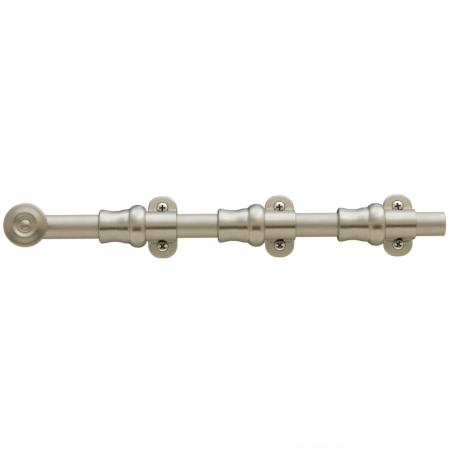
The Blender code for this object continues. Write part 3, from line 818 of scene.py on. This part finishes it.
class Nodes:
    """Short calls for building a node tree."""

    def __init__(self, tree):
        self.tree = tree

    def add(self, kind, inputs=None, **settings):
        node = self.tree.nodes.new(kind)
        for key, value in settings.items():
            setattr(node, key, value)
        for key, value in (inputs or {}).items():
            self.feed(node, key, value)
        return node

    def feed(self, node, key, value):
        socket = node.inputs[key]
        if isinstance(value, bpy.types.NodeSocket):
            self.tree.links.new(value, socket)
        else:
            socket.default_value = value

    def math(self, operation, *values, clamp=False):
        node = self.add("ShaderNodeMath", dict(enumerate(values)), operation=operation, use_clamp=clamp)
        return node.outputs[0]

    def times(self, first, second):
        return self.math("MULTIPLY", first, second)

    def plus(self, first, second):
        return self.math("ADD", first, second)

    def vector(self, operation, *values):
        node = self.add("ShaderNodeVectorMath", dict(enumerate(values)), operation=operation)
        return node.outputs["Value" if operation in ("DOT_PRODUCT", "LENGTH") else "Vector"]

    def remap(self, value, low, high, to_low=0.0, to_high=1.0, soft=False):
        node = self.add(
            "ShaderNodeMapRange",
            {"Value": value, "From Min": low, "From Max": high, "To Min": to_low, "To Max": to_high},
            interpolation_type="SMOOTHSTEP" if soft else "LINEAR",
        )
        return node.outputs["Result"]

    def vary(self, noise, low, high):
        """Spreads a noise value, which mostly lies between 0.3 and 0.7, over a range."""
        return self.remap(noise, 0.3, 0.7, low, high)

    def blend(self, share, first, second):
        """The first colour at share 0, the second at share 1."""
        node = self.add("ShaderNodeMix", data_type="RGBA")
        self.feed(node, "Factor", share)
        for index, colour in ((6, first), (7, second)):
            self.feed(node, index, colour)
        return node.outputs[2]

    def noise(self, vector, scale, detail=2.0, roughness=0.5):
        inputs = {"Vector": vector, "Scale": scale, "Detail": detail, "Roughness": roughness}
        return self.add("ShaderNodeTexNoise", inputs).outputs["Fac"]


def new_material(name):
    material = bpy.data.materials.new(name)
    material.use_nodes = True
    nodes = Nodes(material.node_tree)
    shader = material.node_tree.nodes["Principled BSDF"]
    return material, nodes, shader


def local_place(nodes):
    return nodes.add("ShaderNodeTexCoord").outputs["Object"]


def lathe_vector(nodes):
    """(length along X, distance from X, small share of the height), so noise on it runs in rings."""
    place = local_place(nodes)
    radius = nodes.vector("LENGTH", nodes.vector("MULTIPLY", place, (0.0, 1.0, 1.0)))
    parts = nodes.add("ShaderNodeSeparateXYZ", {"Vector": place}).outputs
    drift = nodes.times(parts["Z"], LATHE_DRIFT)
    rings = {"X": parts["X"], "Y": radius, "Z": drift}
    return nodes.add("ShaderNodeCombineXYZ", rings).outputs["Vector"]


def drawn_vector(nodes):
    """Place squeezed along X, so noise on it runs in lines along the bar."""
    return nodes.vector("MULTIPLY", local_place(nodes), (DRAW_SQUEEZE, 1.0, 1.0))


def way_round(nodes):
    """Direction round the piece's own X axis, in world space."""
    turn = nodes.vector("CROSS_PRODUCT", (1.0, 0.0, 0.0), local_place(nodes))
    to_world = nodes.add(
        "ShaderNodeVectorTransform", {"Vector": turn},
        vector_type="VECTOR", convert_from="OBJECT", convert_to="WORLD",
    )
    return nodes.vector("NORMALIZE", to_world.outputs["Vector"])


def way_across_rings(nodes):
    """Direction along the surface, square to the rings that a lathe leaves."""
    normal = nodes.add("ShaderNodeNewGeometry").outputs["Normal"]
    return nodes.vector("NORMALIZE", nodes.vector("CROSS_PRODUCT", way_round(nodes), normal))


def openness_of(nodes):
    """1 in the open, falling towards 0 in a recess; shade is painted into the colour where it falls."""
    return nodes.add("ShaderNodeAmbientOcclusion", {"Distance": RECESS_SHADE_REACH}, samples=8).outputs["AO"]


def edge_wear(nodes, amount):
    """1 on exposed edges and 0 on flats, from how far an eased normal leaves the true one."""
    eased = nodes.add("ShaderNodeBevel", {"Radius": WEAR_REACH}, samples=4).outputs["Normal"]
    true = nodes.add("ShaderNodeNewGeometry").outputs["Normal"]
    same = nodes.vector("DOT_PRODUCT", eased, true)
    return nodes.times(nodes.remap(same, 1.0, 0.8), amount)


def plate_share(nodes):
    """1 on the flat plate under a guide, 0 on its turned body."""
    parts = nodes.add("ShaderNodeSeparateXYZ", {"Vector": local_place(nodes)}).outputs
    plate_top = ROD_HEIGHT - FLANGE_THICKNESS
    below_apron = nodes.remap(parts["Y"], plate_top - 0.25 * MM, plate_top - 0.02 * MM)
    above_chamfer = nodes.remap(parts["Y"], plate_top + 0.2 * MM, plate_top + 0.5 * MM, 1.0, 0.0)
    aside = nodes.math("ABSOLUTE", parts["X"])
    on_flange = nodes.remap(aside, FLANGE_RADIUS, FLANGE_RADIUS + 0.1 * MM, 1.0, 0.0)
    return nodes.times(nodes.times(below_apron, above_chamfer), on_flange)


# Noise scales, in waves for each metre
FINE_LINES = 9000.0
BROAD_LINES = 1700.0
CLOUDS = 90.0
SPECKS = 2600.0
MOTTLE = 700.0
FINE_MOTTLE = 5200.0

SATIN = (0.560, 0.534, 0.478)
SATIN_TURNED = (0.515, 0.480, 0.415)
SATIN_DRAWN = (0.590, 0.555, 0.495)
# Lighter colours of the flange plate: painted fill light on a face that the tube shades; the two vary at
# random in clouds
PLATE_PAINTED_FILL = (0.76, 0.725, 0.65)
PLATE_PAINTED_FILL_DIM = (0.70, 0.665, 0.59)
BRIGHT = (0.93, 0.915, 0.87)
ZINC = (0.56, 0.57, 0.58)
WIRE = (0.36, 0.36, 0.37)
NYLON = (0.86, 0.85, 0.79)
NYLON_SHADE = (0.76, 0.74, 0.66)
SHADE_LOSS = 0.93
WEAR_GAIN = 1.25
# Warm tint of the shade painted into recesses
PAINTED_RECESS_SHADE_TINT = (1.0, 0.92, 0.8)


def brushed_metal(name, colour, roughness, grain, wear_amount=0.6, lines_of=lathe_vector,
                  spread_way=None, stretch=0.0, recess_shade_tone=0.3, recess_shade_edge=0.75,
                  plate_roughness=None):
    """Plated metal: brush lines, cloudy tone, painted shade in recesses, polished edges and eased
    corners.

    spread_way gives the direction in which the brush lines spread a highlight, and stretch how much.
    recess_shade_tone sets how dark the painted shade in recesses goes, and recess_shade_edge is how open
    a place is before it stops being one.
    plate_roughness is for the flat plate under a guide, which is not brushed on the lathe; that plate
    also gets a lighter colour, painted fill light.
    """
    material, nodes, shader = new_material(name)
    lines = nodes.noise(lines_of(nodes), FINE_LINES, 3.0, 0.65)
    broad_lines = nodes.noise(lines_of(nodes), BROAD_LINES, 2.0, 0.55)
    clouds = nodes.noise(local_place(nodes), CLOUDS, 3.0, 0.55)
    specks = nodes.noise(local_place(nodes), SPECKS, 2.0, 0.6)
    wear = edge_wear(nodes, wear_amount)
    tone = nodes.plus(nodes.times(clouds, 0.65), nodes.times(broad_lines, 0.35))
    shade = tuple(part * SHADE_LOSS for part in colour)
    worn = tuple(min(1.0, part * WEAR_GAIN) for part in colour)
    # Painted shade: the colour that recesses go to
    painted_recess_shade = tuple(part * recess_shade_tone * tint for part, tint in zip(colour, PAINTED_RECESS_SHADE_TINT))
    base = nodes.blend(nodes.remap(tone, 0.35, 0.65), (*colour, 1.0), (*shade, 1.0))
    base = nodes.blend(nodes.times(wear, 0.4), base, (*worn, 1.0))
    spread = 0.09 * roughness
    rough = nodes.vary(lines, roughness - spread, roughness + spread)
    rough = nodes.plus(rough, nodes.vary(clouds, -spread, spread))
    anisotropy = stretch
    if plate_roughness is not None:
        plate = plate_share(nodes)
        # Painted fill light: the plate takes a lighter colour
        painted_fill_colour = nodes.blend(nodes.vary(clouds, 0.0, 1.0), (*PLATE_PAINTED_FILL, 1.0), (*PLATE_PAINTED_FILL_DIM, 1.0))
        base = nodes.blend(plate, base, painted_fill_colour)
        rough = nodes.plus(rough, nodes.times(plate, plate_roughness - roughness))
        anisotropy = nodes.remap(plate, 0.0, 1.0, stretch, 0.0)
    # Painted shade where ambient occlusion finds a recess
    unshaded_share = nodes.remap(openness_of(nodes), recess_shade_edge - RECESS_SHADE_BLEND, recess_shade_edge, soft=True)
    rough = nodes.math("SUBTRACT", rough, nodes.times(wear, 0.06), clamp=True)
    nodes.feed(shader, "Base Color", nodes.blend(unshaded_share, (*painted_recess_shade, 1.0), base))
    nodes.feed(shader, "Metallic", 1.0)
    nodes.feed(shader, "Roughness", rough)
    if spread_way:
        nodes.feed(shader, "Tangent", spread_way(nodes))
        nodes.feed(shader, "Anisotropic", anisotropy)
    eased = nodes.add("ShaderNodeBevel", {"Radius": CORNER_EASE}, samples=6).outputs["Normal"]
    relief = nodes.plus(nodes.times(lines, 0.7), nodes.times(specks, 0.3))
    bump = {"Strength": grain, "Distance": GRAIN_DEPTH, "Height": relief, "Normal": eased}
    nodes.feed(shader, "Normal", nodes.add("ShaderNodeBump", bump).outputs["Normal"])
    return material


def nylon():
    material, nodes, shader = new_material("natural_nylon")
    mottle = nodes.noise(local_place(nodes), MOTTLE, 3.0)
    fine = nodes.noise(local_place(nodes), FINE_MOTTLE, 2.0)
    shade_share = nodes.remap(mottle, 0.35, 0.65)
    nodes.feed(shader, "Base Color", nodes.blend(shade_share, (*NYLON, 1.0), (*NYLON_SHADE, 1.0)))
    nodes.feed(shader, "Roughness", nodes.vary(fine, 0.42, 0.62))
    nodes.feed(shader, "Subsurface Weight", 0.15)
    nodes.feed(shader, "Subsurface Radius", (MM, MM, 0.8 * MM))
    bump = {"Strength": 0.2, "Distance": NYLON_GRAIN_DEPTH, "Height": fine}
    nodes.feed(shader, "Normal", nodes.add("ShaderNodeBump", bump).outputs["Normal"])
    return material


def make_materials():
    return {
        "guide": brushed_metal(
            "satin_nickel_cast", SATIN, roughness=0.26, grain=0.022,
            spread_way=way_across_rings, stretch=0.6, plate_roughness=0.55,
        ),
        "knob": brushed_metal(
            "satin_nickel_turned", SATIN_TURNED, roughness=0.32, grain=0.025,
            spread_way=way_across_rings, stretch=0.6,
        ),
        "rod": brushed_metal(
            "satin_nickel_drawn", SATIN_DRAWN, roughness=0.40, grain=0.05,
            lines_of=drawn_vector, spread_way=way_round, stretch=0.5,
        ),
        "bright": brushed_metal(
            "bright_nickel", BRIGHT, roughness=0.10, grain=0.03, wear_amount=0.3,
            # Painted shade turns the screw's cross recess almost black
            recess_shade_tone=0.02, recess_shade_edge=0.95,
        ),
        "zinc": brushed_metal("zinc_steel", ZINC, roughness=0.34, grain=0.15),
        "spring": brushed_metal(
            "spring_wire", WIRE, roughness=0.30, grain=0.12, wear_amount=0.3, lines_of=drawn_vector
        ),
        "nylon": nylon(),
    }


# -------- pieces

def add_piece(node, mesh, material, place, name=None):
    """Fine piece that stands for a CAD node, with its body and material slot."""
    piece = new_object(name or f"{node}_fine", mesh)
    mesh.materials.clear()
    mesh.materials.append(material)
    mesh.shade_smooth()
    mesh.set_sharp_from_angle(angle=SMOOTH_ANGLE)
    piece.matrix_world = place
    weighted = piece.modifiers.new("weighted_normals", "WEIGHTED_NORMAL")
    weighted.keep_sharp = True
    weighted.weight = 60
    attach(piece, bodies[node])
    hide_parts(node)
    return piece


def add_guides(materials):
    mesh = guide()
    for place, centre in GUIDE_CENTRES.items():
        add_piece(f"guide_{place}", mesh, materials["guide"], at(centre, AXIS_Y))


def add_wood_screws(materials):
    """Each screw is left at its own turn, as a screwdriver leaves it."""
    mesh = wood_screw()
    turn_step = math.radians(137.5)
    number = 0
    for place, centre in GUIDE_CENTRES.items():
        for level, side in (("upper", 1.0), ("lower", -1.0)):
            spin = Matrix.Rotation(number * turn_step, 4, "X")
            screw_place = at(centre, 0.0, side * SCREW_OFFSET) @ FACING_OUT @ spin
            add_piece(f"wood_screw_{place}_{level}", mesh, materials["bright"], screw_place)
            number += 1


def add_friction_sets(materials):
    """Nylon pad, spring and grub screw in the tapped hole of each outer guide."""
    grub_length = depth_of("friction_grub_screw_tip_end")
    grub = set_screw("grub", grub_length, grub_length, GRUB_CORE)
    grub_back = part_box("friction_grub_screw_tip_end")[1].y
    spring_length = depth_of("friction_spring_tip_end")
    coil = spring(spring_length)
    spring_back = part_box("friction_spring_tip_end")[1].y
    pad = friction_pad(depth_of("friction_pad_tip_end"))
    pad_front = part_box("friction_pad_tip_end")[0].y
    for place in ("knob_end", "tip_end"):
        x = GUIDE_CENTRES[place] + BACK_HOLE_SHIFT
        add_piece(
            f"friction_grub_screw_{place}", grub, materials["zinc"],
            at(x, grub_back) @ FACING_DOOR, name=f"grub_screw_{place}_fine",
        )
        fine_spring = add_piece(
            f"friction_spring_{place}", coil, materials["spring"],
            at(x, spring_back) @ FACING_OUT, name=f"spring_{place}_fine",
        )
        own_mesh(fine_spring)
        add_piece(f"friction_pad_{place}", pad, materials["nylon"], at(x, pad_front) @ FACING_OUT)


def add_limit_pin(materials):
    wall = ROD_HEIGHT - BORE_RADIUS
    thread_length = wall + pin_high.y - THREAD_CLEARANCE
    mesh = set_screw("limit_pin", depth_of("limit_pin"), thread_length, PIN_POINT_RADIUS)
    add_piece("limit_pin", mesh, materials["zinc"], at(BACK_HOLE_SHIFT, pin_high.y) @ FACING_DOOR)


def add_sliding_bolt(materials):
    washer_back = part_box("knob_lock_washer")[1].y
    screw_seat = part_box("knob_screw")[1].y - KNOB_SCREW_HEAD
    add_piece("bolt_rod", rod(), materials["rod"], at(0.0, AXIS_Y))
    for node, mesh, look, y in (
        ("rosette_knob", knob(), "knob", AXIS_Y),
        ("knob_lock_washer", lock_washer(), "zinc", washer_back),
        ("knob_screw", knob_screw(), "zinc", screw_seat),
    ):
        add_piece(node, mesh, materials[look], at(KNOB_X, y) @ FACING_OUT)


# -------- stage, light and camera

FLOOR_Z = -0.22
FLOOR_RADIUS = 6.0
FLOOR_STEPS = 96
FLOOR_PALE = (0.80, 0.80, 0.79)
FLOOR_SHADE = (0.76, 0.76, 0.755)
FLOOR_FADE_START = 0.25
FLOOR_FADE_END = 0.95
FLOOR_GLOW = 0.55

CAMERA_DISTANCE = 0.988
CAMERA_ELEVATION = math.radians(-3.5)
CAMERA_ROLL = math.radians(0.465)
CAMERA_LENS = 120.0
VIEW_CENTRE = Vector((-36.3 * MM, AXIS_Y, 0.43 * MM))

WHITE = (1.0, 1.0, 1.0, 1.0)
COOL = Vector((0.955, 1.0, 1.015))
WARM = Vector((1.09, 1.0, 0.80))

# Light from the studio by elevation in degrees: (elevation, level, warmth)
SKY_STOPS = (
    (-90.0, 0.60, 1.0),
    (-70.0, 0.70, 1.0),
    (-35.0, 0.76, 1.0),
    (-24.0, 0.62, 1.2),
    (-14.0, 0.50, 1.7),
    (0.0, 0.54, 1.5),
    (12.0, 0.60, 1.2),
    (24.0, 0.72, 0.9),
    (34.0, 0.98, 0.4),
    (44.0, 1.40, 0.0),
    (60.0, 1.42, 0.0),
    (90.0, 1.32, 0.0),
)

# Soft edges of the studio's dark and bright areas, in degrees: (start, end)
STAND_SIDE = (30.0, 66.0)
STAND_FOOT = (-33.0, -25.0)
STAND_TOP = (-14.0, 4.0)
KEY_FOOT = (6.0, 18.0)
KEY_TOP = (45.0, 65.0)
BEHIND_EDGE = (105.0, 150.0)
BEHIND_BRIGHTENING = (25.0, 85.0)

STAND_LOSS = 0.82
KEY_SIDE_GAIN = 0.28
KEY_SIDE_REACH = 40.0
BEHIND_LEVEL = 0.30
BEHIND_LEVEL_HIGH = 0.88


def add_floor():
    """Pale round floor that fades to white far away, and lets a view from below pass."""
    ring = arc((0.0, 0.0), (FLOOR_RADIUS, FLOOR_RADIUS), 0.0, 360.0, FLOOR_STEPS)[:-1]
    mesh = bpy.data.meshes.new("floor")
    mesh.from_pydata([(x, y, FLOOR_Z) for x, y in ring], [], [tuple(range(FLOOR_STEPS))])
    floor = new_object("floor", mesh)
    mesh.materials.append(floor_material())
    floor.visible_glossy = False
    floor.visible_diffuse = False
    floor.visible_transmission = False


def floor_material():
    material, nodes, shader = new_material("pale_floor")
    place = nodes.add("ShaderNodeNewGeometry").outputs
    grain = nodes.noise(place["Position"], 40.0, 3.0)
    nodes.feed(shader, "Base Color", nodes.blend(grain, (*FLOOR_PALE, 1.0), (*FLOOR_SHADE, 1.0)))
    nodes.feed(shader, "Roughness", nodes.vary(grain, 0.75, 0.9))
    away = nodes.vector("LENGTH", place["Position"])
    glow_share = nodes.remap(away, FLOOR_FADE_START, FLOOR_FADE_END, FLOOR_GLOW, 1.0)
    glow = nodes.add("ShaderNodeEmission", {"Color": WHITE, "Strength": 1.0}).outputs[0]
    clear = nodes.add("ShaderNodeBsdfTransparent").outputs[0]
    lit = nodes.add("ShaderNodeMixShader", {0: glow_share, 1: shader.outputs[0], 2: glow}).outputs[0]
    both = nodes.add("ShaderNodeMixShader", {0: place["Backfacing"], 1: lit, 2: clear}).outputs[0]
    nodes.feed(material.node_tree.nodes["Material Output"], "Surface", both)
    return material


def fill_sky(ramp):
    """Puts the studio's stops on a colour ramp."""
    for _ in SKY_STOPS[1:-1]:
        ramp.elements.new(0.5)
    for element, (elevation, level, warmth) in zip(ramp.elements, SKY_STOPS):
        element.position = (elevation + 90.0) / 180.0
        element.color = (*(COOL.lerp(WARM, warmth) * level), 1.0)


def band(nodes, elevation, foot, top):
    """1 between two soft edges in elevation and 0 beyond them."""
    above_foot = nodes.remap(elevation, *foot, soft=True)
    below_top = nodes.remap(elevation, *top, 1.0, 0.0, soft=True)
    return nodes.times(above_foot, below_top)


def studio_level(nodes, azimuth, elevation):
    """How bright the studio is: a dark camera stand in front, a brighter right, a darker back."""
    aside = nodes.math("ABSOLUTE", azimuth)
    in_front = nodes.remap(aside, *STAND_SIDE, 1.0, 0.0, soft=True)
    stand = nodes.times(in_front, band(nodes, elevation, STAND_FOOT, STAND_TOP))
    side_gain = nodes.remap(azimuth, -KEY_SIDE_REACH, KEY_SIDE_REACH, -KEY_SIDE_GAIN, KEY_SIDE_GAIN)
    key = nodes.times(side_gain, band(nodes, elevation, KEY_FOOT, KEY_TOP))
    level = nodes.math("SUBTRACT", nodes.plus(1.0, key), nodes.times(stand, STAND_LOSS))
    behind = nodes.remap(aside, *BEHIND_EDGE, soft=True)
    steepness = nodes.math("ABSOLUTE", elevation)
    behind_level = nodes.remap(steepness, *BEHIND_BRIGHTENING, BEHIND_LEVEL, BEHIND_LEVEL_HIGH)
    loss = nodes.times(behind, nodes.math("SUBTRACT", 1.0, behind_level))
    return nodes.times(level, nodes.math("SUBTRACT", 1.0, loss))


def add_world():
    """Studio surround that the metal reflects; the camera itself sees plain white."""
    world = bpy.data.worlds.new("studio")
    bpy.context.scene.world = world
    world.use_nodes = True
    nodes = Nodes(world.node_tree)
    way = nodes.add("ShaderNodeTexCoord").outputs["Generated"]
    parts = nodes.add("ShaderNodeSeparateXYZ", {"Vector": way}).outputs
    elevation = nodes.math("DEGREES", nodes.math("ARCSINE", parts["Z"]))
    towards_camera = nodes.times(parts["Y"], -1.0)
    azimuth = nodes.math("DEGREES", nodes.math("ARCTAN2", parts["X"], towards_camera))
    sky = nodes.add("ShaderNodeValToRGB", {"Fac": nodes.remap(elevation, -90.0, 90.0)})
    fill_sky(sky.color_ramp)
    surround = nodes.vector("SCALE", sky.outputs["Color"])
    nodes.feed(surround.node, "Scale", studio_level(nodes, azimuth, elevation))
    camera_ray = nodes.add("ShaderNodeLightPath").outputs["Is Camera Ray"]
    colour = nodes.blend(camera_ray, surround, WHITE)
    nodes.feed(world.node_tree.nodes["Background"], "Color", colour)


def add_softbox():
    """Wide lamp overhead, for a soft key and a gentle shadow on the floor."""
    data = bpy.data.lights.new("overhead_softbox", "AREA")
    data.shape = "RECTANGLE"
    data.size = 1.4
    data.size_y = 0.6
    data.energy = 0.4
    data.color = COOL / max(COOL)
    lamp = new_object("overhead_softbox", data)
    lamp.location = (0.0, -0.15, 0.9)
    lamp.rotation_euler = (math.radians(-8.0), 0.0, 0.0)


def add_camera():
    """Long lens in front and a little below, level but for a slight roll."""
    data = bpy.data.cameras.new("camera")
    data.lens = CAMERA_LENS
    data.clip_start = 0.05
    data.clip_end = 50.0
    camera = new_object("camera", data)
    back = Vector((0.0, -math.cos(CAMERA_ELEVATION), math.sin(CAMERA_ELEVATION)))
    aim = (-back).to_track_quat("-Z", "Y").to_matrix().to_4x4()
    roll = Matrix.Rotation(-CAMERA_ROLL, 4, "Z")
    camera.matrix_world = Matrix.Translation(VIEW_CENTRE + back * CAMERA_DISTANCE) @ aim @ roll
    bpy.context.scene.camera = camera
    bpy.context.scene.view_settings.view_transform = "Standard"


materials = make_materials()
add_guides(materials)
add_wood_screws(materials)
add_friction_sets(materials)
add_limit_pin(materials)
add_sliding_bolt(materials)
add_floor()
add_world()
add_softbox()
add_camera()
